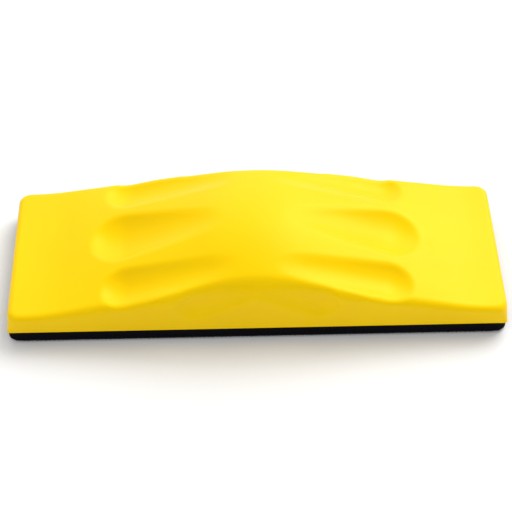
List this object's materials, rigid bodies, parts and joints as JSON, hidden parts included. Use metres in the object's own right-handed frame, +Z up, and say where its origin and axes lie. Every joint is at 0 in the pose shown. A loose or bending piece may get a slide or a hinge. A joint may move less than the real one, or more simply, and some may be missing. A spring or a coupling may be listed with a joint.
{
  "type": "hand sanding block",
  "caption": "Long hand sanding block with a humped foam grip, finger grooves, fingertip hollows and a cushioned hook face for hook-and-loop abrasive strips.",
  "frame": {"origin": "middle of the hook face, the underside that the abrasive strip is pressed onto", "axes": "+X along the block's length, +Y across it, +Z up through the grip"},
  "size_m": [0.198, 0.07, 0.0349],
  "materials": {
    "grip_skin": "satin",
    "cushion_foam": "matte",
    "hook_tape": "matte",
    "hook_nylon": "satin",
    "adhesive": "satin"
  },
  "bodies": {
    "root": {"grip_body": "grip_skin", "body_adhesive": "adhesive", "cushion_pad": "cushion_foam", "tape_adhesive": "adhesive", "hook_backing": "hook_tape", "hook_pile": "hook_nylon"}
  },
  "joints": []
}
